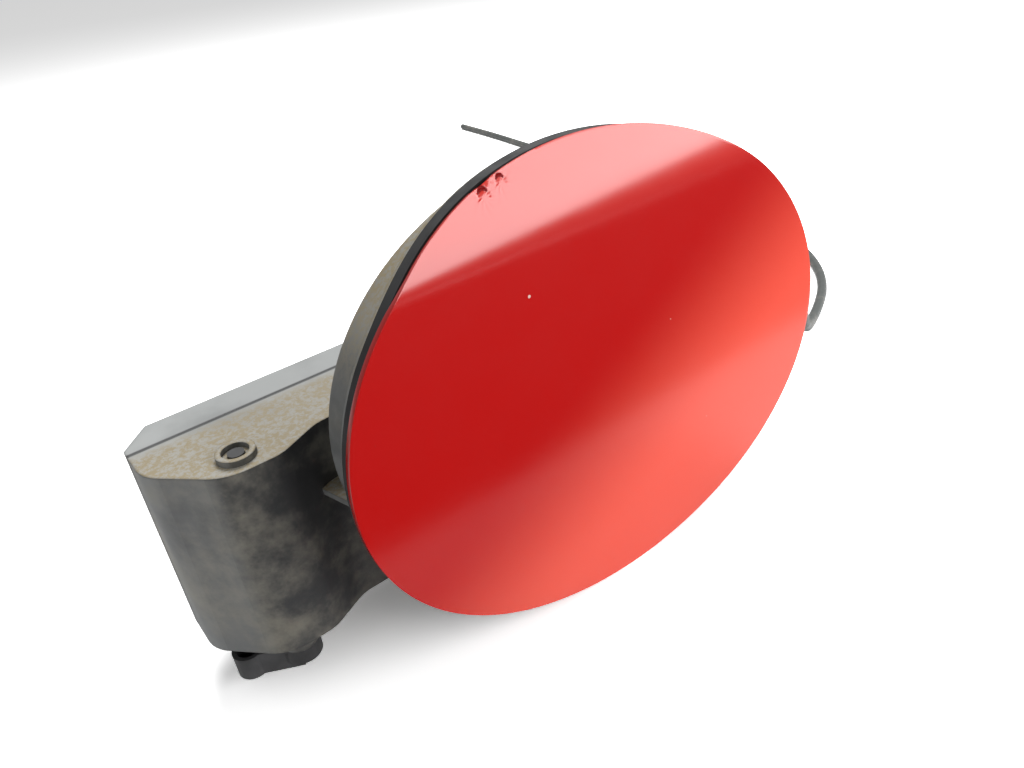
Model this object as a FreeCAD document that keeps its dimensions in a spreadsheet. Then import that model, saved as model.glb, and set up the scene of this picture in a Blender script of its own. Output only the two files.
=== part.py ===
import FreeCAD, Part
import math
import os
import re

import Sketcher

# Fuel filler flap of a car with its moulded pocket. The origin is the centre of the filler neck on the
# back of the pocket, +Y points into the car along the neck, +X to the latch side and +Z up.

doc = FreeCAD.newDocument("fuel_filler_flap")
sheet = doc.addObject("Spreadsheet::Sheet", "Sizes")

SIZES = {
    # flap skin: an ellipse turned a little in its plane, with a crease below its top
    "flap_x": -6, "flap_face": -60, "flap_z": 6,
    "flap_half_width": 87, "flap_half_height": 72, "flap_roll": 8,
    "skin_thickness": 1.2, "hem_depth": 1.8, "face_radius": 720, "face_span": 105,
    "crease_z": 57, "crease_tilt": 2.2, "upper_lean": 24,
    "crease_soft_left": 3, "crease_soft_right": 24,
    # inner panel of the flap and its gooseneck arm
    "panel_thickness": 2, "panel_margin": 9, "panel_rib_inset": 13,
    "rib_height": 2.5, "rib_thickness": 2,
    "arm_thickness": 4, "arm_height": 16, "arm_middle_z": 0.5,
    "arm_back_run": 34.75, "arm_reach": 46.5, "arm_near_bend": 9, "arm_far_bend": 12,
    "arm_slot_gap": 1.5, "arm_slot_side": 4, "arm_slot_front": -21.5, "arm_slot_left": -76,
    "knuckle_dia": 9.6, "knuckle_end_gap": 1,
    # hinge pin with its head and hollow lug
    "pin_x": -106, "pin_y": -22.5, "pin_dia": 4.5, "pin_fit": 0.05, "pin_rise": 1.2,
    "pin_head_dia": 11.5, "pin_head_height": 5,
    "lug_reach": 15.5, "lug_turn": 152, "lug_width": 9.5, "lug_neck": 6.8, "lug_wall": 1.3,
    "lug_slot": 4.2, "lug_height": 8, "lug_floor": 1.5,
        # pocket: bowl, flange and the seat of the filler neck
    "wall": 2, "back_wall": 2.5,
    "bowl_half_width": 80.5, "bowl_half_height": 65.5, "bowl_shoulder": -36,
    "back_half_width": 57, "back_half_height": 47,
    "seal_gap": 0.4, "seal_thickness": 3.5, "seal_inset": 1, "seal_width": 6,
    "flange_thickness": 2.5, "flange_inset": 2,
    "neck_bore": 25, "neck_seal_wall": 4, "neck_sleeve": 12, "neck_lip": 3,
    # hinge box at the left of the bowl, with its rear cover
    "box_left": -128, "box_right": -50, "box_front": -30.5, "box_top": 16, "box_bottom": -47,
    "box_corner_y": -13, "box_bulge_left": -112, "box_bulge_right": -97,
    "box_neck_x": -84, "box_neck_y": -24, "box_join_y": -23.5,
    "corner_round": 12, "bulge_left_round": 14, "bulge_right_round": 10, "neck_round": 12,
    "cover_depth": 17, "cover_side": 3, "cover_slope_x": -115, "cover_bevel": 5,
    "boss_dia": 10.6, "boss_bore": 7.4, "boss_height": 1.8, "boss_floor": 0.3,
    "lower_boss_dia": 11.5, "lower_boss_height": 4,
    "gusset_z": -5, "gusset_thickness": 2, "gusset_width": 9,
    # drain spout under the bowl
    "drain_x": 12, "drain_y": -14, "drain_dia": 12, "drain_bore": 8,
    # hinge spring strip
    "strip_thickness": 0.8, "strip_height": 14, "strip_gap": 0.4, "strip_bend_y": -6.5, "strip_foot": 1.6,
    # latch with its sliding bolt and release cable
    "latch_y": -24, "latch_z": -28, "latch_face": 70.5, "latch_length": 18,
    "latch_depth": 18, "latch_height": 24, "latch_front_wall": 2.5, "latch_cavity_dia": 13,
    "bolt_dia": 8, "bolt_fit": 0.1, "bolt_pass_fit": 0.2, "bolt_reach": 25.5, "bolt_nose": 1,
    "bolt_collar_dia": 11.6, "bolt_collar_length": 2.5, "bolt_collar_back": 12.5,
    "spring_dia": 10, "spring_wire": 0.8, "spring_turns": 3.5, "spring_sides": 14, "spring_gap": 0.2,
    "cap_thickness": 3, "screw_dia": 3, "screw_head_dia": 5.5, "screw_head_height": 1.8, "screw_depth": 8,
    "screw_spread": 18,
    "ferrule_dia": 8.5, "ferrule_length": 10, "ferrule_collar_dia": 11, "ferrule_collar_length": 3,
    "cable_dia": 4.6,
    "striker_thickness": 4, "striker_gap": 1.5, "striker_height": 14, "striker_tail": 8, "striker_eye_gap": 1,
    "striker_foot": 3, "striker_foot_length": 16,
    # what a cutter reaches past a face
    "overrun": 1,
}

for row, (alias, value) in enumerate(SIZES.items(), start=1):
    sheet.set(f"A{row}", alias)
    sheet.set(f"B{row}", str(value))
    sheet.setAlias(f"B{row}", alias)
doc.recompute()

FULL_TURN = 360


def mm(alias):
    return float(sheet.get(alias))


def cells(words):
    return re.sub(r"[a-z][a-z_]+", r"Sizes.\g<0>", words)


def vec(x, y, z):
    return FreeCAD.Vector(x, y, z)


# Bodies drawn as sketches, whose corners follow the sheet.

def outline(body, name, corners):
    sketch = body.newObject("Sketcher::SketchObject", name)
    plane = next(item for item in body.Origin.OriginFeatures if item.Role == "XY_Plane")
    sketch.AttachmentSupport = (plane, [""])
    sketch.MapMode = "FlatFace"
    count = len(corners)
    for index in range(count):
        start = vec(index, index ** 2, 0)
        end = vec(index + 1, (index + 1) ** 2, 0)
        sketch.addGeometry(Part.LineSegment(start, end), False)
    for index in range(count):
        sketch.addConstraint(Sketcher.Constraint("Coincident", index, 2, (index + 1) % count, 1))
    for index, corner in enumerate(corners):
        for kind, words in zip(("DistanceX", "DistanceY"), corner):
            rule = sketch.addConstraint(Sketcher.Constraint(kind, -1, 1, index, 1, index + 1))
            sketch.setExpression(f"Constraints[{rule}]", cells(words))
    return sketch


def new_body(label):
    body = doc.addObject("PartDesign::Body", label)
    body.Label = label
    return body


def turned(label, corners, axis, place):
    body = new_body(label)
    profile = outline(body, f"{label}_profile", corners)
    for side, words in zip("xyz", place):
        profile.setExpression(f".AttachmentOffset.Base.{side}", cells(words))
    solid = body.newObject("PartDesign::Revolution", f"{label}_turned")
    solid.Profile = profile
    solid.ReferenceAxis = (profile, [axis])
    solid.Angle = FULL_TURN
    return body


def padded(body, corners, low, height):
    profile = outline(body, f"{body.Label}_plan", corners)
    profile.setExpression(".AttachmentOffset.Base.z", cells(low))
    pad = body.newObject("PartDesign::Pad", f"{body.Label}_pad")
    pad.Profile = profile
    pad.setExpression("Length", cells(height))
    doc.recompute()
    return pad


def keep(label, shape):
    feature = doc.addObject("Part::Feature", label)
    feature.Label = label
    feature.Shape = shape
    feature.Placement = shape.Placement
    return feature


# The flap's outer face: a slightly bowed lower part, a crease, and an upper part that leans back.
# The crease is sharp at the hinge side and fades towards the latch side.

def face_points(x, shift, soft):
    radius = mm("face_radius")
    centre_z = mm("flap_z")
    crease_z = mm("crease_z") + math.tan(math.radians(mm("crease_tilt"))) * (x - mm("flap_x"))
    lean = math.tan(math.radians(mm("upper_lean")))

    def lower(z):
        return mm("flap_face") + shift + radius - math.sqrt(radius ** 2 - (z - centre_z) ** 2)

    bottom_z = centre_z - mm("face_span")
    top_z = centre_z + mm("face_span")
    start_z = crease_z - soft
    bottom = vec(x, lower(bottom_z), bottom_z)
    middle = vec(x, lower((bottom_z + start_z) / 2), (bottom_z + start_z) / 2)
    start = vec(x, lower(start_z), start_z)
    corner = vec(x, lower(crease_z), crease_z)
    end = vec(x, corner.y + lean * soft, crease_z + soft)
    top = vec(x, corner.y + lean * (top_z - crease_z), top_z)
    bend = (start + corner * 2 + end) / 4
    return bottom, middle, start, bend, end, top


def face_section(x, near, far, soft):
    b0, m0, s0, k0, e0, t0 = face_points(x, near, soft)
    b1, m1, s1, k1, e1, t1 = face_points(x, far, soft)
    edges = [
        Part.Arc(b0, m0, s0), Part.Arc(s0, k0, e0), Part.LineSegment(e0, t0), Part.LineSegment(t0, t1),
        Part.LineSegment(t1, e1), Part.Arc(e1, k1, s1), Part.Arc(s1, m1, b1), Part.LineSegment(b1, b0),
    ]
    return Part.Wire([edge.toShape() for edge in edges])


def face_band(near, far):
    left = face_section(mm("flap_x") - mm("face_span"), near, far, mm("crease_soft_left"))
    right = face_section(mm("flap_x") + mm("face_span"), near, far, mm("crease_soft_right"))
    return Part.makeLoft([left, right], True, True)


def before_face(depth):
    return face_band(-mm("face_span"), depth)


def oval(centre, half_width, half_height):
    roll = math.radians(mm("flap_roll"))
    along = vec(math.cos(roll), 0, -math.sin(roll))
    across = vec(math.sin(roll), 0, math.cos(roll))
    ellipse = Part.Ellipse(centre + along * half_width, centre + across * half_height, centre)
    return Part.Wire([ellipse.toShape()])


def oval_prism(inset):
    centre = vec(mm("flap_x"), mm("flap_face") - mm("face_span") / 2, mm("flap_z"))
    face = Part.Face(oval(centre, mm("flap_half_width") - inset, mm("flap_half_height") - inset))
    return face.extrude(vec(0, mm("face_span"), 0))


def oval_ring(inset, width):
    return oval_prism(inset).cut(oval_prism(inset + width))


def rod(dia, start, end):
    axis = end - start
    return Part.makeCylinder(dia / 2, axis.Length, start, axis)


def block(x0, x1, y0, y1, z0, z1):
    return Part.makeBox(x1 - x0, y1 - y0, z1 - z0, vec(x0, y0, z0))


# Depths behind the flap's face, and the hinge line, that several pieces share.
PANEL_BACK = mm("skin_thickness") + mm("panel_thickness")
SEAL_FRONT = mm("hem_depth") + mm("seal_gap")
SEAL_BACK = SEAL_FRONT + mm("seal_thickness")
FLANGE_BACK = SEAL_BACK + mm("flange_thickness")
PIN_FOOT = mm("box_bottom") - mm("lower_boss_height")


def pin_at(z):
    return vec(mm("pin_x"), mm("pin_y"), z)


# Flap skin: pressed panel with its edge folded over.
def make_flap_skin():
    shell = face_band(0, mm("hem_depth")).common(oval_prism(0))
    hollow = face_band(mm("skin_thickness"), mm("hem_depth") * 2).common(oval_prism(mm("skin_thickness")))
    return shell.cut(hollow)


# Inner panel with the gooseneck arm, which goes round the pocket's wall to the hinge pin.
def arm_path():
    back = mm("pin_y") + mm("arm_back_run")
    far_x = mm("pin_x") + mm("arm_reach")
    near = mm("arm_near_bend")
    far = mm("arm_far_bend")
    z = mm("arm_middle_z")
    diagonal = 1 - math.sqrt(0.5)
    a = pin_at(z)
    b = vec(mm("pin_x"), back - near, z)
    b_mid = vec(mm("pin_x") + near * diagonal, back - near * diagonal, z)
    c = vec(mm("pin_x") + near, back, z)
    d = vec(far_x - far, back, z)
    d_mid = vec(far_x - far * diagonal, back - far * diagonal, z)
    e = vec(far_x, back - far, z)
    f = vec(far_x, mm("flap_face") + mm("skin_thickness") + mm("panel_thickness") / 2, z)
    edges = [Part.LineSegment(a, b), Part.Arc(b, b_mid, c), Part.LineSegment(c, d),
             Part.Arc(d, d_mid, e), Part.LineSegment(e, f)]
    return Part.Wire([edge.toShape() for edge in edges])


def make_flap_carrier():
    panel = face_band(mm("skin_thickness"), PANEL_BACK).common(oval_prism(mm("panel_margin")))
    rim = face_band(PANEL_BACK, PANEL_BACK + mm("rib_height"))
    rim = rim.common(oval_ring(mm("panel_rib_inset"), mm("rib_thickness")))
    half_thick = mm("arm_thickness") / 2
    half_high = mm("arm_height") / 2
    corners = [pin_at(mm("arm_middle_z")) + vec(dx, 0, dz) for dx, dz in (
        (-half_thick, -half_high), (half_thick, -half_high), (half_thick, half_high), (-half_thick, half_high))]
    arm = arm_path().makePipeShell([Part.makePolygon(corners + corners[:1])], True, True)
    low = mm("box_bottom") + mm("wall") + mm("knuckle_end_gap")
    high = mm("box_top") - mm("wall") - mm("knuckle_end_gap")
    knuckle = rod(mm("knuckle_dia"), pin_at(low), pin_at(high))
    bore = rod(mm("pin_dia") + 2 * mm("pin_fit"), pin_at(low - mm("overrun")), pin_at(high + mm("overrun")))
    return panel.fuse([rim, arm, knuckle]).removeSplitter().cut(bore)


# Eye on the flap that the bolt enters.
def make_striker():
    right = mm("latch_face") - mm("bolt_reach") - mm("striker_gap")
    left = right - mm("striker_thickness")
    half = mm("striker_height") / 2
    z0 = mm("latch_z") - half
    z1 = mm("latch_z") + half
    front = mm("flap_face") - mm("face_span") / 2
    plate = block(left, right, front, mm("latch_y") + mm("striker_tail"), z0, z1).cut(before_face(PANEL_BACK))
    foot = block(right - mm("striker_foot_length"), right, front, 0, z0, z1)
    foot = foot.common(face_band(PANEL_BACK, PANEL_BACK + mm("striker_foot")))
    eye_half = mm("bolt_dia") / 2 + mm("striker_eye_gap")
    eye = block(left, right, mm("latch_y") - eye_half, mm("latch_y") + eye_half,
                mm("latch_z") - eye_half, mm("latch_z") + eye_half)
    return plate.fuse(foot).removeSplitter().cut(eye)


# Pocket moulding: bowl, flange, hinge box, bosses, latch pad and drain spout.
def bowl(inset, back_y):
    shoulder = mm("bowl_shoulder")
    spread_w = mm("bowl_half_width") - mm("back_half_width")
    spread_h = mm("bowl_half_height") - mm("back_half_height")

    def section(share, y):
        centre = vec(mm("flap_x") * share, y, mm("flap_z") * share)
        return oval(centre, mm("back_half_width") + spread_w * share - inset,
                    mm("back_half_height") + spread_h * share - inset)

    sections = [section(1, mm("flap_face")), section(1, shoulder), section(back_y / shoulder, back_y)]
    return Part.makeLoft(sections, True, True)


def rounded_wire(points, z):
    edges = []
    count = len(points)
    trims = []
    for index, (x, y, radius) in enumerate(points):
        here = vec(x, y, z)
        before = vec(*points[index - 1][:2], z)
        after = vec(*points[(index + 1) % count][:2], z)
        to_before = (before - here).normalize()
        to_after = (after - here).normalize()
        if radius == 0:
            trims.append((here, None, here))
            continue
        half = to_before.getAngle(to_after) / 2
        reach = radius / math.tan(half)
        middle = here + (to_before + to_after).normalize() * (radius / math.sin(half) - radius)
        trims.append((here + to_before * reach, middle, here + to_after * reach))
    for index, (enter, middle, leave) in enumerate(trims):
        if middle is not None:
            edges.append(Part.Arc(enter, middle, leave).toShape())
        following = trims[(index + 1) % count][0]
        if not leave.isEqual(following, Part.Precision.confusion()):
            edges.append(Part.LineSegment(leave, following).toShape())
    return Part.Wire(edges)


def prism(points, z0, z1):
    return Part.Face(rounded_wire(points, z0)).extrude(vec(0, 0, z1 - z0))


def box_wire(z):
    return rounded_wire([
        (mm("box_left"), 0, 0), (mm("box_left"), mm("box_corner_y"), mm("corner_round")),
        (mm("box_bulge_left"), mm("box_front"), mm("bulge_left_round")),
        (mm("box_bulge_right"), mm("box_front"), mm("bulge_right_round")),
        (mm("box_neck_x"), mm("box_neck_y"), mm("neck_round")), (mm("box_right"), mm("box_join_y"), 0),
        (mm("box_right"), 0, 0),
    ], z)


def box_outside():
    z0 = mm("box_bottom")
    return Part.Face(box_wire(z0)).extrude(vec(0, 0, mm("box_top") - z0))


def box_inside():
    wall = mm("wall")
    z0 = mm("box_bottom") + wall
    z1 = mm("box_top") - wall
    room = Part.Face(box_wire(z0).makeOffset2D(-wall)).extrude(vec(0, 0, z1 - z0))
    window = block(mm("box_left") + wall, mm("box_right") - wall, -wall - mm("overrun"), mm("overrun"), z0, z1)
    return room.fuse(window)


def arm_slot():
    half = mm("arm_height") / 2 + mm("arm_slot_gap")
    right = mm("pin_x") + mm("arm_reach") + mm("arm_thickness") / 2 + mm("arm_slot_side")
    return block(mm("arm_slot_left"), right, mm("arm_slot_front"), mm("overrun"),
                 mm("arm_middle_z") - half, mm("arm_middle_z") + half)


def latch_point(x):
    return vec(x, mm("latch_y"), mm("latch_z"))


def flap_low():
    roll = math.radians(mm("flap_roll"))
    reach = math.hypot(mm("flap_half_width") * math.sin(roll), mm("flap_half_height") * math.cos(roll))
    return mm("flap_z") - reach


def drain_at(z):
    return vec(mm("drain_x"), mm("drain_y"), z)


def make_gusset():
    half = mm("gusset_width") / 2
    rib = prism([
        (mm("box_neck_x") - half, mm("box_neck_y"), 0), (mm("box_neck_x") + half, mm("flap_face"), 0),
        (mm("box_right"), mm("flap_face"), 0), (mm("box_right"), mm("box_join_y"), 0),
    ], mm("gusset_z"), mm("gusset_z") + mm("gusset_thickness"))
    return rib.cut(before_face(SEAL_BACK)).common(oval_prism(mm("flange_inset")))


def make_housing():
    z0 = mm("box_bottom")
    z1 = mm("box_top")
    wall = mm("wall")
    over = mm("overrun")
    half = mm("latch_height") / 2
    depth = mm("latch_depth") / 2
    shell = bowl(0, 0).cut(before_face(SEAL_BACK))
    flange = face_band(SEAL_BACK, FLANGE_BACK).common(oval_prism(mm("flange_inset")))
    pad = block(mm("latch_face") / 2, mm("latch_face"), mm("latch_y") - depth, mm("latch_y") + depth,
                mm("latch_z") - half, mm("latch_z") + half)
    drain = rod(mm("drain_dia"), drain_at(flap_low()), drain_at(-mm("back_half_height") / 2))
    lower_boss = rod(mm("lower_boss_dia"), pin_at(PIN_FOOT), pin_at(z0 + wall))
    upper_boss = rod(mm("boss_dia"), pin_at(z1 - wall), pin_at(z1 + mm("boss_height")))
    solid = shell.fuse([flange, box_outside(), pad, drain, lower_boss, make_gusset()])
    hollows = [bowl(wall, -mm("back_wall")), box_inside().cut(shell), arm_slot()]
    neck_dia = 2 * (mm("neck_bore") + mm("neck_seal_wall"))
    hollows.append(rod(neck_dia, vec(0, -mm("back_wall") - over, 0), vec(0, over, 0)))
    hollows.append(rod(mm("drain_bore"), drain_at(flap_low() - over), drain_at(-mm("back_half_height") / 2)))
    hollows.append(rod(mm("bolt_dia") + 2 * mm("bolt_pass_fit"), latch_point(mm("latch_face") / 2 - over),
                       latch_point(mm("latch_face") + over)))
    for side in (-1, 1):
        foot = latch_point(mm("latch_face") - mm("screw_depth")) + vec(0, 0, side * mm("screw_spread") / 2)
        hollows.append(rod(mm("screw_dia"), foot, foot + vec(mm("screw_depth") + over, 0, 0)))
    for hollow in hollows:
        solid = solid.cut(hollow)
    recess = rod(mm("boss_bore"), pin_at(z1 + mm("boss_floor")), pin_at(z1 + mm("boss_height") + over))
    pin_hole = rod(mm("pin_dia") + 2 * mm("pin_fit"), pin_at(PIN_FOOT - over), pin_at(z1 + over))
    return solid.fuse(upper_boss).cut(recess).cut(pin_hole)


# Rubber ring between the flange and the flap's edge.
def make_flange_seal():
    return face_band(SEAL_FRONT, SEAL_BACK).common(oval_ring(mm("seal_inset"), mm("seal_width")))


# Rear cover of the hinge box: a shallow tray with bevelled long edges.
def make_cover():
    body = new_body("hinge_box_cover")
    pad = padded(body, [
        ("box_left", "0"), ("box_left", "cover_side"), ("cover_slope_x", "cover_depth"),
        ("box_right - cover_bevel", "cover_depth"), ("box_right", "cover_depth - cover_bevel"),
        ("box_right", "0"),
    ], "box_bottom", "box_top - box_bottom")
    near = mm("cover_depth") - mm("pin_fit")
    long_edges = [f"Edge{number}" for number, edge in enumerate(pad.Shape.Edges, start=1)
                  if edge.BoundBox.YMin > near and edge.BoundBox.ZLength < mm("wall")]
    bevels = body.newObject("PartDesign::Chamfer", "cover_bevels")
    bevels.Base = (pad, long_edges)
    bevels.setExpression("Size", cells("cover_bevel"))
    doc.recompute()
    mouth = [f"Face{number}" for number, face in enumerate(bevels.Shape.Faces, start=1)
             if face.BoundBox.YMax < mm("pin_fit")]
    tray = body.newObject("PartDesign::Thickness", "cover_tray")
    tray.Base = (bevels, mouth)
    tray.setExpression("Value", cells("wall"))
    tray.Reversed = True
    tray.Join = 1
    return body


# Hinge pin: shank, round head and the hollow keyhole lug beside the head.
def make_pin():
    head_low = PIN_FOOT - mm("pin_head_height")
    lug_low = PIN_FOOT - mm("lug_height")
    shank = rod(mm("pin_dia"), pin_at(PIN_FOOT), pin_at(mm("box_top") + mm("pin_rise")))
    head = rod(mm("pin_head_dia"), pin_at(head_low), pin_at(PIN_FOOT))
    turn = math.radians(mm("lug_turn"))
    along = vec(math.cos(turn), math.sin(turn), 0)
    across = vec(-along.y, along.x, 0)

    def keyhole(dia, neck, low):
        base = pin_at(low)
        far = base + along * mm("lug_reach")
        side = across * (neck / 2)
        corners = [base + side, far + side, far - side, base - side]
        bridge = Part.Face(Part.makePolygon(corners + corners[:1])).extrude(vec(0, 0, PIN_FOOT - low))
        return bridge.fuse(rod(dia, far, far + vec(0, 0, PIN_FOOT - low)))

    lug = keyhole(mm("lug_width"), mm("lug_neck"), lug_low)
    room = keyhole(mm("lug_width") - 2 * mm("lug_wall"), mm("lug_slot"), lug_low + mm("lug_floor"))
    room = room.cut(rod(mm("pin_head_dia"), pin_at(lug_low), pin_at(PIN_FOOT)))
    return shank.fuse([head, lug.cut(room)]).removeSplitter()


# Spring strip that bears on the knuckle.
def make_strip():
    foot = mm("box_left") + mm("wall")
    tip = mm("pin_x") - mm("knuckle_dia") / 2 - mm("strip_gap")
    thick = mm("strip_thickness")
    bend = mm("strip_bend_y")
    low = mm("arm_middle_z") - mm("strip_height") / 2
    return prism([
        (foot, bend, 0), (foot + thick, bend, 0), (foot + thick, -mm("strip_foot"), 0), (tip - thick, bend, 0),
        (tip - thick, mm("pin_y"), 0), (tip, mm("pin_y"), 0), (tip, bend + thick, 0), (foot + thick, 0, 0),
        (foot, 0, 0),
    ], low, low + mm("strip_height"))


# Rubber grommet in the pocket's back wall that seals the filler neck.
def make_neck_seal():
    groove = "neck_bore + neck_seal_wall"
    lip = f"{groove} + neck_lip"
    inner_back = "0 - back_wall"
    inner_front = f"{inner_back} - neck_lip"
    return turned("neck_seal", [
        ("neck_bore", inner_front), ("neck_bore", "neck_sleeve"), (groove, "neck_sleeve"), (groove, "neck_lip"),
        (lip, "neck_lip"), (lip, "0"), (groove, "0"), (groove, inner_back), (lip, inner_back), (lip, inner_front),
    ], "V_Axis", ("0", "0", "0"))


# Latch: body, cap, sliding bolt, coil spring and two screws.
LATCH_AXIS = ("0", "latch_y", "latch_z")
LATCH_BACK = mm("latch_face") + mm("latch_length")
CAP_BACK = LATCH_BACK + mm("cap_thickness")


def latch_slab(front, back):
    half = mm("latch_height") / 2
    depth = mm("latch_depth") / 2
    slab = block(front, back, mm("latch_y") - depth, mm("latch_y") + depth,
                 mm("latch_z") - half, mm("latch_z") + half)
    for side in (-1, 1):
        start = latch_point(front - mm("overrun")) + vec(0, 0, side * mm("screw_spread") / 2)
        slab = slab.cut(rod(mm("screw_dia"), start, start + vec(back - front + 2 * mm("overrun"), 0, 0)))
    return slab


def make_latch_body():
    cavity = rod(mm("latch_cavity_dia"), latch_point(mm("latch_face") + mm("latch_front_wall")),
                 latch_point(LATCH_BACK + mm("overrun")))
    bore = rod(mm("bolt_dia") + 2 * mm("bolt_fit"), latch_point(mm("latch_face") - mm("overrun")),
               latch_point(LATCH_BACK))
    return latch_slab(mm("latch_face"), LATCH_BACK).cut(cavity).cut(bore)


def make_latch_cap():
    return latch_slab(LATCH_BACK, CAP_BACK)


def make_bolt():
    tip = "latch_face - bolt_reach"
    back = "latch_face + bolt_collar_back"
    collar = f"{back} - bolt_collar_length"
    return turned("latch_bolt", [
        (tip, "0"), (back, "0"), (back, "bolt_collar_dia / 2"), (collar, "bolt_collar_dia / 2"),
        (collar, "bolt_dia / 2"), (f"{tip} + bolt_nose", "bolt_dia / 2"), (tip, "bolt_dia / 2 - bolt_nose"),
    ], "H_Axis", LATCH_AXIS)


def make_spring():
    wire = mm("spring_wire")
    front = mm("latch_face") + mm("bolt_collar_back") + mm("spring_gap") + wire / 2
    back = LATCH_BACK - mm("spring_gap") - wire / 2
    radius = (mm("spring_dia") - wire) / 2
    steps = int(mm("spring_turns") * mm("spring_sides"))
    points = []
    for step in range(steps + 1):
        angle = 2 * math.pi * step / mm("spring_sides")
        points.append(latch_point(front + (back - front) * step / steps)
                      + vec(0, radius * math.cos(angle), radius * math.sin(angle)))
    section = Part.Wire([Part.Circle(points[0], points[1] - points[0], wire / 2).toShape()])
    return Part.makePolygon(points).makePipeShell([section], True, True, 1)


def make_screws():
    screws = []
    for side in (-1, 1):
        rise = vec(0, 0, side * mm("screw_spread") / 2)
        shank = rod(mm("screw_dia"), latch_point(mm("latch_face") - mm("screw_depth")) + rise,
                    latch_point(CAP_BACK) + rise)
        head = rod(mm("screw_head_dia"), latch_point(CAP_BACK) + rise,
                   latch_point(CAP_BACK + mm("screw_head_height")) + rise)
        screws.append(shank.fuse(head).removeSplitter())
    return Part.makeCompound(screws)


# Cable ferrule on the latch, and the release cable that lies on the surface below.
def make_ferrule():
    front = "latch_face + latch_length + cap_thickness"
    end = f"{front} + ferrule_length"
    collar = f"{front} + ferrule_collar_length"
    return turned("cable_ferrule", [
        (front, "0"), (end, "0"), (end, "ferrule_dia / 2"), (collar, "ferrule_dia / 2"),
        (collar, "ferrule_collar_dia / 2"), (front, "ferrule_collar_dia / 2"),
    ], "H_Axis", LATCH_AXIS)


CABLE_START = latch_point(CAP_BACK + mm("ferrule_length"))
CABLE_REST = flap_low() + mm("cable_dia") / 2
CABLE_ROUTE = [
    CABLE_START, CABLE_START + vec(13, 0, 0), vec(126, -22.5, -32.5), vec(137, -19, -40.5),
    vec(146, -14, -51), vec(157, -7.5, -59.5), vec(171, -0.5, -63.5), vec(188, 7.5, CABLE_REST),
    vec(206, 18, CABLE_REST), vec(223, 33, CABLE_REST), vec(238, 53, CABLE_REST), vec(249, 79, CABLE_REST),
    vec(258, 117, CABLE_REST), vec(265, 162, CABLE_REST), vec(271, 212, CABLE_REST), vec(275, 264, CABLE_REST),
    vec(280, 315, CABLE_REST), vec(283, 366, CABLE_REST), vec(288, 417, CABLE_REST), vec(290, 468, CABLE_REST),
]
BEND_SHARE = 0.45


def make_cable():
    edges = []
    radii = []
    at = CABLE_ROUTE[0]
    for before, here, after in zip(CABLE_ROUTE, CABLE_ROUTE[1:], CABLE_ROUTE[2:]):
        to_before = (before - here).normalize()
        to_after = (after - here).normalize()
        turn = math.pi - to_before.getAngle(to_after)
        reach = BEND_SHARE * min(before.distanceToPoint(here), after.distanceToPoint(here))
        radius = reach / math.tan(turn / 2)
        radii.append(round(radius))
        enter = here + to_before * reach
        leave = here + to_after * reach
        middle = here + (to_before + to_after).normalize() * (radius / math.cos(turn / 2) - radius)
        edges += [Part.LineSegment(at, enter).toShape(), Part.Arc(enter, middle, leave).toShape()]
        at = leave
    edges.append(Part.LineSegment(at, CABLE_ROUTE[-1]).toShape())
    path = Part.Wire(edges)
    heading = CABLE_ROUTE[1] - CABLE_ROUTE[0]
    section = Part.Wire([Part.Circle(CABLE_ROUTE[0], heading, mm("cable_dia") / 2).toShape()])
    tube = path.makePipeShell([section], True, True)
    expected = math.pi * mm("cable_dia") ** 2 / 4 * path.Length
    print("cable radii", radii, "length", round(path.Length, 1), "volume share", round(tube.Volume / expected, 4))
    return tube


pieces = [
    keep("flap_skin", make_flap_skin()),
    keep("flap_carrier", make_flap_carrier()),
    keep("lock_striker", make_striker()),
    keep("pocket_housing", make_housing()),
    keep("flange_seal", make_flange_seal()),
    make_cover(),
    keep("hinge_pin", make_pin()),
    keep("hinge_spring_strip", make_strip()),
    make_neck_seal(),
    keep("latch_body", make_latch_body()),
    keep("latch_cap", make_latch_cap()),
    make_bolt(),
    keep("latch_spring", make_spring()),
    keep("latch_screws", make_screws()),
    make_ferrule(),
    keep("release_cable", make_cable()),
]
doc.recompute()

for item in doc.Objects:
    if "Invalid" in item.State or "Error" in item.State:
        raise RuntimeError(f"{item.Label} failed: {item.State}")
for piece in pieces:
    if piece.Shape.isNull() or not piece.Shape.isValid():
        raise RuntimeError(f"{piece.Label} has no valid shape")

os.makedirs("parts", exist_ok=True)
for piece in pieces:
    piece.Shape.exportStep(os.path.join("parts", f"{piece.Label}.step"))
    reach = piece.Shape.BoundBox
    print(piece.Label, len(piece.Shape.Solids), round(piece.Shape.Volume), [round(side, 1) for side in (
        reach.XMin, reach.XMax, reach.YMin, reach.YMax, reach.ZMin, reach.ZMax)])
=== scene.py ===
import math

import bpy
from mathutils import Matrix, Vector


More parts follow.
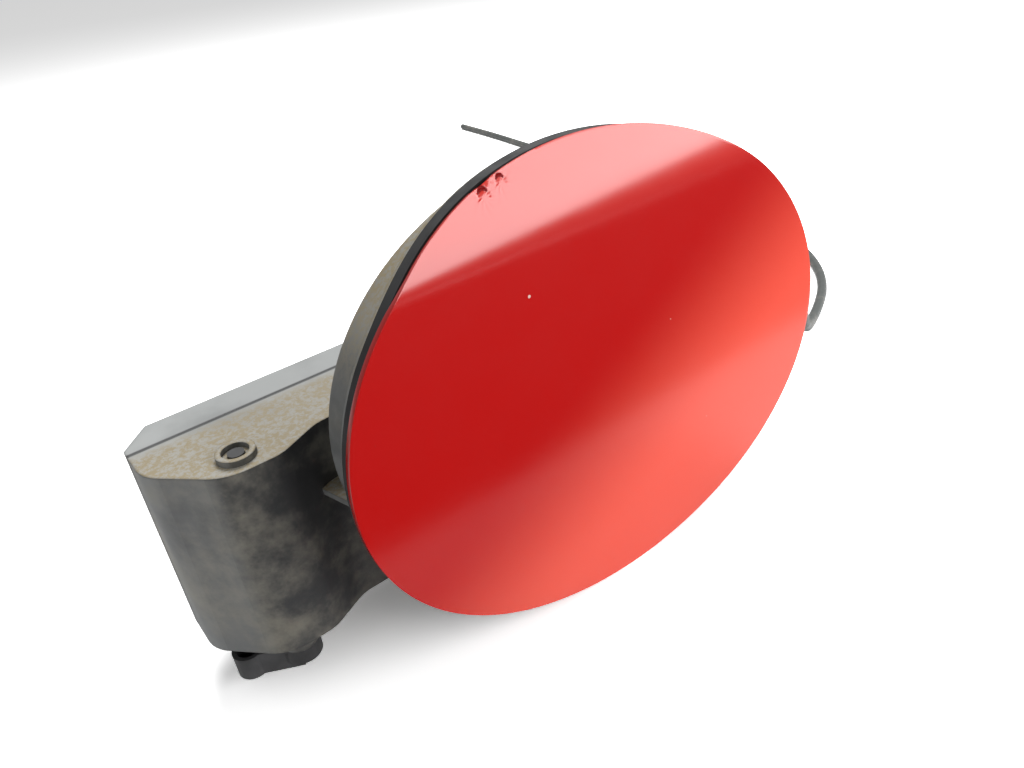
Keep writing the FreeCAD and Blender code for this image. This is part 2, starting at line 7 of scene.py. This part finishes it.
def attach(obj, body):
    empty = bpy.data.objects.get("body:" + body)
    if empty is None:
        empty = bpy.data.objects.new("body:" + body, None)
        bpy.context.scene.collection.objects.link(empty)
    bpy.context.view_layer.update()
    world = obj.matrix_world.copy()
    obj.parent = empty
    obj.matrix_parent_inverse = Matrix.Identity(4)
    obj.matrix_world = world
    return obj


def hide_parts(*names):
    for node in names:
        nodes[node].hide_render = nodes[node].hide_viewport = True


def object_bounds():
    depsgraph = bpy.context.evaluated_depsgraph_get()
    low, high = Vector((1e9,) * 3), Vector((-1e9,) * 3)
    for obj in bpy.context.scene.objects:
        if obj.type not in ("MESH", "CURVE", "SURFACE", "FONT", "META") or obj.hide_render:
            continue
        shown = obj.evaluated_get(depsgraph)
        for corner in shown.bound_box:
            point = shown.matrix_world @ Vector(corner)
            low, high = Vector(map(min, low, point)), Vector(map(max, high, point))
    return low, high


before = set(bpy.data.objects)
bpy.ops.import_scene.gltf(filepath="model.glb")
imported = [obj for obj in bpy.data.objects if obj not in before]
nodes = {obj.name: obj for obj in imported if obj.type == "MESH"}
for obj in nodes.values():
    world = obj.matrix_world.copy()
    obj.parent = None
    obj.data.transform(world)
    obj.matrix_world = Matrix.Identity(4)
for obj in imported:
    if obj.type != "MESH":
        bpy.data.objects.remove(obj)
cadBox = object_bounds()
mm = 0.001

# camera as the photo was taken: close, from the upper left, a little rolled
shot = {
    "place": (-146.5, -214.8, 136.2), "turn": -33.56, "height": 31.0, "roll": -7.65,
    "lens": 29.88, "sensor": 36, "clipStart": 0.01,
}


def addCamera(shot):
    turn = math.radians(shot["turn"])
    height = math.radians(shot["height"])
    roll = math.radians(shot["roll"])
    level = math.cos(height)
    back = Vector((math.sin(turn) * level, -math.cos(turn) * level, math.sin(height)))
    right = (-back).cross(Vector((0, 0, 1))).normalized()
    up = back.cross(right)
    rolledRight = right * math.cos(roll) + up * math.sin(roll)
    rolledUp = up * math.cos(roll) - right * math.sin(roll)
    turned = Matrix((rolledRight, rolledUp, back)).transposed().to_4x4()
    bpy.ops.object.camera_add()
    camera = bpy.context.object
    camera.name = "photoCamera"
    camera.matrix_world = Matrix.Translation(Vector(shot["place"]) * mm) @ turned
    camera.data.sensor_width = shot["sensor"]
    camera.data.lens = shot["lens"]
    camera.data.clip_start = shot["clipStart"]
    bpy.context.scene.camera = camera


addCamera(shot)
print("camera set")


# shader node helpers
class Finish:
    sockets = {
        "colour": "Base Color", "roughness": "Roughness",
        "metal": "Metallic", "specular": "Specular IOR Level",
    }
    spotGrain = (1800, 3)
    spotBlur = 0.1

    def __init__(self, name):
        self.material = bpy.data.materials.new(name)
        self.material.use_nodes = True
        self.tree = self.material.node_tree
        self.tree.nodes.clear()
        out = self.add("OutputMaterial")
        self.shader = self.add("BsdfPrincipled")
        self.link(self.shader.outputs[0], out.inputs[0])
        self.place = self.add("TexCoord").outputs["Object"]

    def add(self, kind, **settings):
        node = self.tree.nodes.new("ShaderNode" + kind)
        for key, value in settings.items():
            setattr(node, key, value)
        return node

    def link(self, source, target):
        self.tree.links.new(source, target)

    def feed(self, value, target):
        if isinstance(value, bpy.types.NodeSocket):
            self.link(value, target)
        else:
            target.default_value = value

    def feedColour(self, value, target):
        self.feed(value if isinstance(value, bpy.types.NodeSocket) else (*value, 1), target)

    def noise(self, scale, detail=4.0, rough=0.55):
        node = self.add("TexNoise")
        self.link(self.place, node.inputs["Vector"])
        node.inputs["Scale"].default_value = scale
        node.inputs["Detail"].default_value = detail
        node.inputs["Roughness"].default_value = rough
        return node.outputs["Fac"]

    def spread(self, value, low, high, out=(0.0, 1.0)):
        node = self.add("MapRange", interpolation_type="SMOOTHSTEP")
        self.link(value, node.inputs["Value"])
        keys = ("From Min", "From Max", "To Min", "To Max")
        for key, number in zip(keys, (low, high, *out)):
            node.inputs[key].default_value = number
        return node.outputs["Result"]

    def math(self, kind, a, b):
        node = self.add("Math", operation=kind, use_clamp=True)
        self.feed(a, node.inputs[0])
        self.feed(b, node.inputs[1])
        return node.outputs[0]

    def product(self, result, *factors):
        for factor in factors:
            result = self.math("MULTIPLY", result, factor)
        return result

    def mix(self, factor, under, over):
        node = self.add("MixRGB")
        self.feed(factor, node.inputs["Fac"])
        self.feedColour(under, node.inputs["Color1"])
        self.feedColour(over, node.inputs["Color2"])
        return node.outputs[0]

    def axes(self, source):
        node = self.add("SeparateXYZ")
        self.link(source, node.inputs[0])
        return node.outputs

    def facing(self):
        return self.axes(self.add("NewGeometry").outputs["Normal"])

    # ragged spot round a place, in mm
    def spot(self, centre, radius, ragged=0.25):
        apart = self.add("VectorMath", operation="DISTANCE")
        self.link(self.place, apart.inputs[0])
        apart.inputs[1].default_value = [value * mm for value in centre]
        uneven = self.add("Math", operation="MULTIPLY_ADD")
        self.link(self.noise(*self.spotGrain), uneven.inputs[0])
        uneven.inputs[1].default_value = 2 * ragged * radius * mm
        self.link(apart.outputs["Value"], uneven.inputs[2])
        edge = (1 + ragged) * radius * mm
        near, far = edge * (1 - self.spotBlur), edge * (1 + self.spotBlur)
        return self.spread(uneven.outputs[0], near, far, (1.0, 0.0))

    def relief(self, height, strength, distance, normal=None):
        bump = self.add("Bump")
        if normal:
            self.link(normal, bump.inputs["Normal"])
        bump.inputs["Strength"].default_value = strength
        bump.inputs["Distance"].default_value = distance * mm
        self.link(height, bump.inputs["Height"])
        self.link(bump.outputs[0], self.shader.inputs["Normal"])

    def set(self, **values):
        for key, value in values.items():
            give = self.feedColour if key == "colour" else self.feed
            give(value, self.shader.inputs[self.sockets[key]])


def dress(piece, material):
    piece.data.materials.clear()
    piece.data.materials.append(material)


# stage: pale table, soft box in front on the right, lamp behind on the right,
# dark flag in front of the flap that only reflections see
stageSetup = {
    "tableSize": 8.0, "tableTone": 0.86, "tableSeen": 1.9, "tableRough": 0.9,
    "flag": {"size": (1.6, 0.7), "near": -0.122, "midX": 0.2, "lift": 0.002, "tone": 0.01, "rough": 0.9},
    "lamps": {
        "softBox": {"place": (0.62, -0.95, 0.45), "size": (1.1, 0.5), "power": 15.0},
        "topLight": {"place": (0.3, 0.5, 0.95), "size": (0.6, 0.6), "power": 10.0},
    },
    "aim": (0, -0.05, 0),
    "skyStrength": 0.42,
}


# the table looks over-exposed to the camera, as in the photo, and plain pale to everything else
def tableFinish(setup):
    tone, seen = setup["tableTone"], setup["tableSeen"]
    pale = Finish("paleTable")
    rays = pale.add("LightPath").outputs["Is Camera Ray"]
    colour = pale.mix(rays, (tone, tone, tone), (seen, seen, seen))
    pale.set(colour=colour, roughness=setup["tableRough"], specular=0.0)
    return pale.material


def flagFinish(setup):
    black = Finish("flagBlack")
    black.set(colour=(setup["tone"],) * 3, roughness=setup["rough"])
    return black.material


def addFlag(setup, floorZ):
    width, depth = setup["size"]
    place = (setup["midX"], setup["near"] - depth / 2, floorZ + setup["lift"])
    bpy.ops.mesh.primitive_plane_add(size=1, location=place)
    flag = bpy.context.object
    flag.name = "flag"
    flag.scale = (width, depth, 1)
    bpy.ops.object.transform_apply(location=False)
    dress(flag, flagFinish(setup))
    flag.visible_camera = False
    flag.visible_diffuse = False
    flag.visible_shadow = False


def addLamp(name, setup, aim):
    bpy.ops.object.light_add(type="AREA", location=setup["place"])
    lamp = bpy.context.object
    lamp.name = name
    lamp.data.shape = "RECTANGLE"
    lamp.data.size, lamp.data.size_y = setup["size"]
    lamp.data.energy = setup["power"]
    ahead = Vector(aim) - lamp.location
    lamp.rotation_euler = ahead.to_track_quat("-Z", "Y").to_euler()


# white where the camera sees past the table, dimmer as light
def addWorld(strength):
    world = bpy.data.worlds.new("softRoom")
    bpy.context.scene.world = world
    world.use_nodes = True
    tree = world.node_tree
    tree.nodes.clear()
    out = tree.nodes.new("ShaderNodeOutputWorld")
    room = tree.nodes.new("ShaderNodeBackground")
    room.inputs["Strength"].default_value = strength
    seen = tree.nodes.new("ShaderNodeBackground")
    seen.inputs["Color"].default_value = (1, 1, 1, 1)
    rays = tree.nodes.new("ShaderNodeLightPath")
    mix = tree.nodes.new("ShaderNodeMixShader")
    tree.links.new(rays.outputs["Is Camera Ray"], mix.inputs[0])
    tree.links.new(room.outputs[0], mix.inputs[1])
    tree.links.new(seen.outputs[0], mix.inputs[2])
    tree.links.new(mix.outputs[0], out.inputs[0])


def addStage(setup):
    floorZ = cadBox[0][2]
    bpy.ops.mesh.primitive_plane_add(size=setup["tableSize"], location=(0, 0, floorZ))
    table = bpy.context.object
    table.name = "table"
    dress(table, tableFinish(setup))
    addFlag(setup["flag"], floorZ)
    for name, lamp in setup["lamps"].items():
        addLamp(name, lamp, setup["aim"])
    addWorld(setup["skyStrength"])


bpy.context.scene.view_settings.view_transform = "Standard"
addStage(stageSetup)
print("stage and lights set")

# painted lid: bowed face, crease that softens to the right, two crescent dents and a kinked edge
lidSetup = {
    "centre": (-6, 6), "half": (87, 72), "roll": 8, "face": -60, "bow": 720,
    "creaseZ": 60.4, "creaseTilt": 2.2, "lean": 24, "soft": ((-111, 0.5), (99, 13)),
    "grid": (170, 146), "skin": 1.2, "hem": 1.8, "hemFrom": 0.985,
    "edgeRound": 0.45, "roundSegments": 3, "roundOver": 60, "smoothUnder": 50,
    "dents": (
        {"at": (-33.8, 73.2), "radius": 1.4, "depth": 0.16},
        {"at": (-39.6, 71.4), "radius": 1.6, "depth": 0.2},
    ),
    "fineArea": {"at": (-36, 73), "reach": 15, "cuts": 3},
    "crescent": {"halfTurn": 1.8, "narrow": 0.85, "taper": 0.6, "inside": 0.8, "outside": 0.35},
    "crumple": {"depth": 0.03, "fade": 3.2, "rise": 1.5, "folds": 11, "twist": 0.9, "reach": 14},
    "kink": {
        "at": (-39, 76.2), "depth": 0.4, "reach": 2.6, "edgeFrom": 0.94, "edgeOver": 0.06,
        "aside": 0.25, "inward": 0.3,
    },
}


# bowed below the crease, leaning back above it, with a curved blend between the two
def lidHeight(setup, x, z):
    midX, midZ = setup["centre"]
    bow = setup["bow"]
    crease = setup["creaseZ"] + math.tan(math.radians(setup["creaseTilt"])) * (x - midX)
    (leftX, leftSoft), (rightX, rightSoft) = setup["soft"]
    soft = leftSoft + (rightSoft - leftSoft) * (x - leftX) / (rightX - leftX)
    lean = math.tan(math.radians(setup["lean"]))

    def lower(at):
        return setup["face"] + bow - math.sqrt(bow ** 2 - (at - midZ) ** 2)

    start = crease - soft
    if z <= start:
        return lower(z)
    slope = (start - midZ) / math.sqrt(bow ** 2 - (start - midZ) ** 2)
    tangent = lower(start) + slope * (z - start)
    if z < crease + soft:
        return tangent + (lean - slope) * (z - start) ** 2 / (4 * soft)
    return tangent + (lean - slope) * (z - crease)


# crescent hollows with small wrinkles round them
def dentDepth(setup, x, z):
    crescent, crumple = setup["crescent"], setup["crumple"]
    depth = 0.0
    for dent in setup["dents"]:
        dx = x - dent["at"][0]
        dz = z - dent["at"][1]
        away = math.hypot(dx, dz)
        if away > crumple["reach"]:
            continue
        turn = math.atan2(dx, dz)
        if abs(turn) < crescent["halfTurn"]:
            arc = max(0.0, math.cos(turn * crescent["narrow"])) ** crescent["taper"]
            width = crescent["inside"] if away < dent["radius"] else crescent["outside"]
            depth += dent["depth"] * arc * math.exp(-((away - dent["radius"]) / width) ** 2)
        fading = math.exp(-away / crumple["fade"]) * min(1.0, away / crumple["rise"])
        depth += crumple["depth"] * fading * math.sin(turn * crumple["folds"] + away * crumple["twist"])
    return depth


def addLid(setup):
    across, up = setup["grid"]
    bpy.ops.mesh.primitive_grid_add(x_subdivisions=across, y_subdivisions=up, size=2)
    lid = bpy.context.object
    lid.name = "paintedLid"
    roll = math.radians(setup["roll"])
    halfX, halfZ = setup["half"]
    midX, midZ = setup["centre"]

    def onOval(p, q):
        along = halfX * p * math.sqrt(1 - q * q / 2)
        rise = halfZ * q * math.sqrt(1 - p * p / 2)
        return (midX + along * math.cos(roll) + rise * math.sin(roll),
                midZ - along * math.sin(roll) + rise * math.cos(roll))

    # finer faces round the dents
    fine = setup["fineArea"]
    bpy.ops.object.mode_set(mode="EDIT")
    bpy.ops.mesh.select_mode(type="FACE")
    bpy.ops.mesh.select_all(action="DESELECT")
    bpy.ops.object.mode_set(mode="OBJECT")
    for face in lid.data.polygons:
        face.select = math.dist(onOval(face.center.x, face.center.y), fine["at"]) < fine["reach"]
    bpy.ops.object.mode_set(mode="EDIT")
    bpy.ops.mesh.subdivide(number_cuts=fine["cuts"])
    bpy.ops.object.mode_set(mode="OBJECT")

    # square grid to pressed oval
    rim = lid.vertex_groups.new(name="rim")
    kink = setup["kink"]
    kinkX, kinkZ = kink["at"]
    for point in lid.data.vertices:
        p, q = point.co.x, point.co.y
        x, z = onOval(p, q)
        edge = max(abs(p), abs(q))
        if edge > setup["hemFrom"]:
            rim.add([point.index], 1.0, "REPLACE")
        near = math.hypot(x - kinkX, z - kinkZ) / kink["reach"]
        atEdge = max(0.0, (edge - kink["edgeFrom"]) / kink["edgeOver"])
        pull = kink["depth"] * math.exp(-near ** 2) * atEdge
        y = lidHeight(setup, x, z) + dentDepth(setup, x, z)
        point.co = Vector((x + kink["aside"] * pull, y + kink["inward"] * pull, z - pull)) * mm

    shell = lid.modifiers.new("hem", "SOLIDIFY")
    shell.thickness = setup["hem"] * mm
    shell.offset = -1
    shell.vertex_group = "rim"
    shell.thickness_vertex_group = setup["skin"] / setup["hem"]
    bpy.ops.object.modifier_apply(modifier="hem")
    edgeRound = lid.modifiers.new("edgeRound", "BEVEL")
    edgeRound.width = setup["edgeRound"] * mm
    edgeRound.segments = setup["roundSegments"]
    edgeRound.limit_method = "ANGLE"
    edgeRound.angle_limit = math.radians(setup["roundOver"])
    bpy.ops.object.modifier_apply(modifier="edgeRound")
    bpy.ops.object.mode_set(mode="EDIT")
    bpy.ops.mesh.select_all(action="SELECT")
    bpy.ops.mesh.normals_make_consistent(inside=False)
    bpy.ops.object.mode_set(mode="OBJECT")
    bpy.ops.object.shade_smooth_by_angle(angle=math.radians(setup["smoothUnder"]))
    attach(lid, "flap")
    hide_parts("flap_skin")
    return lid


# red paint: painted bounce light low on the right, a pinkish lighter red that also reads as faded paint;
# painted highlight above the crease; faint specks; dents dulled and painted dark as shade; small chips
paintSetup = {
    "red": (0.40, 0.0012, 0.0008),
    # painted bounce light: pinkish lighter red low on the right stands in for light from the table, also
    # read as faded paint
    "fadedAndBounceLit": (0.80, 0.09, 0.055),
    "fadeAndBounceAlong": (0.6, 0.0, -1.0),
    "fadeAndBounceRange": (-0.028, 0.042, (0.0, 0.9)),
    # painted highlight: lighter red above the crease, where the face leans back towards the light
    "upper": (0.56, 0.028, 0.018),
    "upperRange": (0.054, 0.070),
    "specks": {"tone": (0.10, 0.045, 0.03), "grain": (950, 2, 0.4), "range": (0.76, 0.80), "most": 0.12},
    # painted shade: dark red crescents in the dents
    "dents": {
        "tone": (0.16, 0.001, 0.001), "ragged": 0.1, "biteY": 0.35, "biteZ": 0.75,
        "marks": (((-33.8, -50.5, 73.9), 1.5), ((-39.6, -51.2, 72.2), 1.7)),
    },
    "chips": {
        "tone": (0.62, 0.46, 0.40),
        "marks": (((-34.5, -58.92, 45.4), 0.42), ((14.0, -60.0, 20.0), 0.2), ((30.0, -59.6, -22.0), 0.2)),
    },
    "cloud": (90, 4),
    "roughRange": (0.3, 0.7, (0.185, 0.205)),
    "glossRange": (0.0, 1.0, (0.5, 0.04)),
    "peel": (1400, 2, 0.5),
    "peelDepth": (0.02, 0.02),
}


def paintFinish(setup):
    paint = Finish("redPaint")
    where = paint.axes(paint.place)
    lowRight = paint.add("VectorMath", operation="DOT_PRODUCT")
    paint.link(paint.place, lowRight.inputs[0])
    lowRight.inputs[1].default_value = setup["fadeAndBounceAlong"]
    # painted bounce light: lighter pinkish red towards the lower right
    fade = paint.spread(lowRight.outputs["Value"], *setup["fadeAndBounceRange"])
    colour = paint.mix(fade, setup["red"], setup["fadedAndBounceLit"])
    # painted highlight: lighter red above the crease
    colour = paint.mix(paint.spread(where["Z"], *setup["upperRange"]), colour, setup["upper"])
    specks = setup["specks"]
    speckled = paint.spread(paint.noise(*specks["grain"]), *specks["range"])
    colour = paint.mix(paint.product(speckled, specks["most"]), colour, specks["tone"])

    # painted shade in the dents: a dark crescent is one spot with a second one bitten out of it
    dents = setup["dents"]
    dentShade = 0.0
    for (x, y, z), radius in dents["marks"]:
        bite = (x, y - dents["biteY"] * radius, z - dents["biteZ"] * radius)
        crescent = paint.math("SUBTRACT", paint.spot((x, y, z), radius, dents["ragged"]),
                              paint.spot(bite, radius, dents["ragged"]))
        dentShade = paint.math("MAXIMUM", dentShade, crescent)
    colour = paint.mix(dentShade, colour, dents["tone"])
    chipped = 0.0
    for centre, radius in setup["chips"]["marks"]:
        chipped = paint.math("MAXIMUM", chipped, paint.spot(centre, radius))
    colour = paint.mix(chipped, colour, setup["chips"]["tone"])
    paint.set(colour=colour,
              roughness=paint.spread(paint.noise(*setup["cloud"]), *setup["roughRange"]),
              specular=paint.spread(dentShade, *setup["glossRange"]))
    paint.relief(paint.noise(*setup["peel"]), *setup["peelDepth"])
    return paint.material


lid = addLid(lidSetup)
dress(lid, paintFinish(paintSetup))
print("lid pressed and painted")

# release cable: stiff grey sheath that lies on the table and ends bare
cableSetup = {
    "diameter": 4.6,
    "rest": -64.02,
    "length": 0.592,
    "start": (101.5, -24, -28),
    "route": (
        (114.5, -24, -28), (126, -22.5, -32.5), (137, -19, -40.5), (146, -14, -51), (157, -7.5, -59.5),
        (171, -0.5, -63.5), (188, 7.5), (206, 18), (223, 33), (238, 53), (249, 79), (258, 117), (265, 162),
        (271, 212), (275, 264), (280, 315), (283, 366), (288, 417), (290, 468),
    ),
    "roundness": 8,
    "steps": 10,
    "clean": (0.10, 0.108, 0.104),
    "grimy": (0.17, 0.165, 0.15),
    "grime": (140, 4),
    "grimeRange": (0.45, 0.7),
    "wear": (300, 3),
    "roughRange": (0.3, 0.7, (0.38, 0.55)),
}


def sheathFinish(setup):
    sheath = Finish("cableSheath")
    grime = sheath.spread(sheath.noise(*setup["grime"]), *setup["grimeRange"])
    sheath.set(colour=sheath.mix(grime, setup["clean"], setup["grimy"]),
               roughness=sheath.spread(sheath.noise(*setup["wear"]), *setup["roughRange"]))
    return sheath.material


def addCable(setup):
    points = [Vector(setup["start"])]
    for place in setup["route"]:
        points.append(Vector(place if len(place) == 3 else (*place, setup["rest"])))
    curve = bpy.data.curves.new("releaseCableSheath", "CURVE")
    curve.dimensions = "3D"
    curve.bevel_depth = setup["diameter"] / 2 * mm
    curve.bevel_resolution = setup["roundness"]
    curve.resolution_u = setup["steps"]
    curve.use_fill_caps = True
    spline = curve.splines.new("NURBS")
    spline.points.add(len(points) - 1)
    for knot, place in zip(spline.points, points):
        knot.co = (*(place * mm), 1)
    spline.order_u = 3
    spline.use_endpoint_u = True
    cable = bpy.data.objects.new("releaseCableSheath", curve)
    bpy.context.scene.collection.objects.link(cable)
    dress(cable, sheathFinish(setup))
    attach(cable, "housing")
    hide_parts("release_cable")


addCable(cableSetup)
print("cable laid")

# pocket plastics: dark moulding with a pale film, beige road dust on top and brown dirt on the walls
pocketSetup = {
    "bare": (0.030, 0.031, 0.033),
    "film": (0.46, 0.475, 0.47),
    "dust": (0.35, 0.285, 0.17),
    "dirt": (0.32, 0.30, 0.24),
    "brown": (0.12, 0.10, 0.07),
    "cloud": (45, 5), "grain": (650, 4, 0.75), "patches": (30, 6, 0.65), "stains": (17, 5, 0.6),
    "upward": (0.35, 0.85),
    "upright": (0.0, 0.6, (1.0, 0.0)),
    "leftward": (-0.45, -0.95),
    "frontHalf": (0.001, -0.006),
    "boxSide": (-0.068, -0.086),
    "dirtOnBox": (0.12, 0.55),
    "topFilm": (0.25, 0.6, (0.7, 0.95)),
    "powder": (0.38, 0.58, (0.35, 1.0)),
    "leftFilm": (0.3, 0.65, (0.35, 0.95)),
    "patchRange": (0.42, 0.68),
    "stainRange": (0.56, 0.72, (0.0, 0.5)),
    # painted shade along the seam between cover and box
    "seamShade": (0.0004, 0.0012, (0.8, 0.0)),
    "seamSide": (-0.05, -0.06),
    "roughRange": (0.3, 0.7, (0.42, 0.66)),
    "edgeRound": 1.2, "edgeSamples": 4, "grainDepth": (0.12, 0.12),
}


def pocketFinish(name, setup, topDust, wallFilm):
    plastic = Finish(name)
    facing = plastic.facing()
    where = plastic.axes(plastic.place)
    upward = plastic.spread(facing["Z"], *setup["upward"])
    leftward = plastic.spread(facing["X"], *setup["leftward"])
    cloud = plastic.noise(*setup["cloud"])
    grain = plastic.noise(*setup["grain"])

    # clean pale top at the back, dust towards the front
    topFilm = plastic.product(upward, plastic.spread(cloud, *setup["topFilm"]))
    colour = plastic.mix(topFilm, setup["bare"], setup["film"])
    frontHalf = plastic.spread(where["Y"], *setup["frontHalf"])
    powder = plastic.product(upward, frontHalf, plastic.spread(grain, *setup["powder"]), topDust)
    colour = plastic.mix(powder, colour, setup["dust"])

    # film and brown patches on the upright walls
    upright = plastic.spread(upward, *setup["upright"])
    leftFilm = plastic.product(leftward, plastic.spread(cloud, *setup["leftFilm"]),
                               plastic.spread(where["X"], *setup["boxSide"]))
    colour = plastic.mix(plastic.product(upright, leftFilm, wallFilm), colour, setup["film"])
    patches = plastic.spread(plastic.noise(*setup["patches"]), *setup["patchRange"])
    onBox = plastic.spread(where["X"], *setup["boxSide"], setup["dirtOnBox"])
    colour = plastic.mix(plastic.product(upright, patches, onBox), colour, setup["dirt"])
    stains = plastic.spread(plastic.noise(*setup["stains"]), *setup["stainRange"])
    colour = plastic.mix(plastic.product(stains, upright), colour, setup["brown"])

    # painted shade: dark line where the cover meets the box
    besideSeam = plastic.add("Math", operation="ABSOLUTE")
    plastic.link(where["Y"], besideSeam.inputs[0])
    seamShade = plastic.product(plastic.spread(besideSeam.outputs[0], *setup["seamShade"]),
                           plastic.spread(where["X"], *setup["seamSide"]))
    colour = plastic.mix(seamShade, colour, setup["bare"])
    plastic.set(colour=colour, roughness=plastic.spread(cloud, *setup["roughRange"]))
    rounded = plastic.add("Bevel", samples=setup["edgeSamples"])
    rounded.inputs["Radius"].default_value = setup["edgeRound"] * mm
    plastic.relief(grain, *setup["grainDepth"], rounded.outputs[0])
    return plastic.material


# small mouldings and rubber: cloudy tone, uneven sheen and fine grain
mouldSetup = {
    "cloud": (60, 4), "cloudRange": (0.35, 0.7),
    "wear": (160, 3), "wearRange": (0.3, 0.7), "roughStep": 0.07,
    "grain": (700, 2), "grainDepth": (0.08, 0.08),
}


def mouldedFinish(name, colour, lift, roughness, setup=mouldSetup):
    plastic = Finish(name)
    cloud = plastic.spread(plastic.noise(*setup["cloud"]), *setup["cloudRange"])
    lighter = [min(1.0, value * lift) for value in colour]
    roughRange = (roughness - setup["roughStep"], roughness + setup["roughStep"])
    wear = plastic.spread(plastic.noise(*setup["wear"]), *setup["wearRange"], roughRange)
    plastic.set(colour=plastic.mix(cloud, colour, lighter), roughness=wear)
    plastic.relief(plastic.noise(*setup["grain"]), *setup["grainDepth"])
    return plastic.material


# springs and screws: streaked tone and sheen
steelSetup = {
    "streaks": (420, 3), "toneRange": (0.35, 0.7), "darker": 0.78,
    "sheenRange": (0.3, 0.7), "smoother": 0.06, "rougher": 0.08,
}


def steelFinish(name, colour, roughness, setup=steelSetup):
    steel = Finish(name)
    streaks = steel.noise(*setup["streaks"])
    darker = [value * setup["darker"] for value in colour]
    roughRange = (roughness - setup["smoother"], roughness + setup["rougher"])
    steel.set(colour=steel.mix(steel.spread(streaks, *setup["toneRange"]), colour, darker),
              roughness=steel.spread(streaks, *setup["sheenRange"], roughRange), metal=1.0)
    return steel.material


finishes = {
    "pocket_housing": pocketFinish("pocketPlastic", pocketSetup, topDust=0.95, wallFilm=0.5),
    "hinge_box_cover": pocketFinish("coverPlastic", pocketSetup, topDust=0.3, wallFilm=0.55),
    "flap_carrier": mouldedFinish("innerPanelPlastic", (0.028, 0.028, 0.030), lift=1.5, roughness=0.5),
    "lock_striker": mouldedFinish("strikerPlastic", (0.022, 0.022, 0.024), lift=1.4, roughness=0.42),
    "flange_seal": mouldedFinish("ringRubber", (0.016, 0.016, 0.017), lift=1.7, roughness=0.72),
    "neck_seal": mouldedFinish("neckRubber", (0.016, 0.016, 0.017), lift=1.6, roughness=0.7),
    "hinge_pin": mouldedFinish("pinPlastic", (0.024, 0.024, 0.025), lift=2.4, roughness=0.5),
    "latch_body": mouldedFinish("latchPlastic", (0.026, 0.026, 0.028), lift=1.5, roughness=0.48),
    "latch_cap": mouldedFinish("capPlastic", (0.03, 0.03, 0.032), lift=1.5, roughness=0.5),
    "latch_bolt": mouldedFinish("boltPlastic", (0.05, 0.05, 0.053), lift=1.3, roughness=0.3),
    "cable_ferrule": mouldedFinish("ferrulePlastic", (0.03, 0.031, 0.033), lift=1.5, roughness=0.45),
    "hinge_spring_strip": steelFinish("springSteel", (0.50, 0.50, 0.51), roughness=0.32),
    "latch_spring": steelFinish("coilSteel", (0.56, 0.56, 0.57), roughness=0.26),
    "latch_screws": steelFinish("screwZinc", (0.60, 0.60, 0.57), roughness=0.34),
}
for name, finish in finishes.items():
    dress(nodes[name], finish)
print("finishes set")
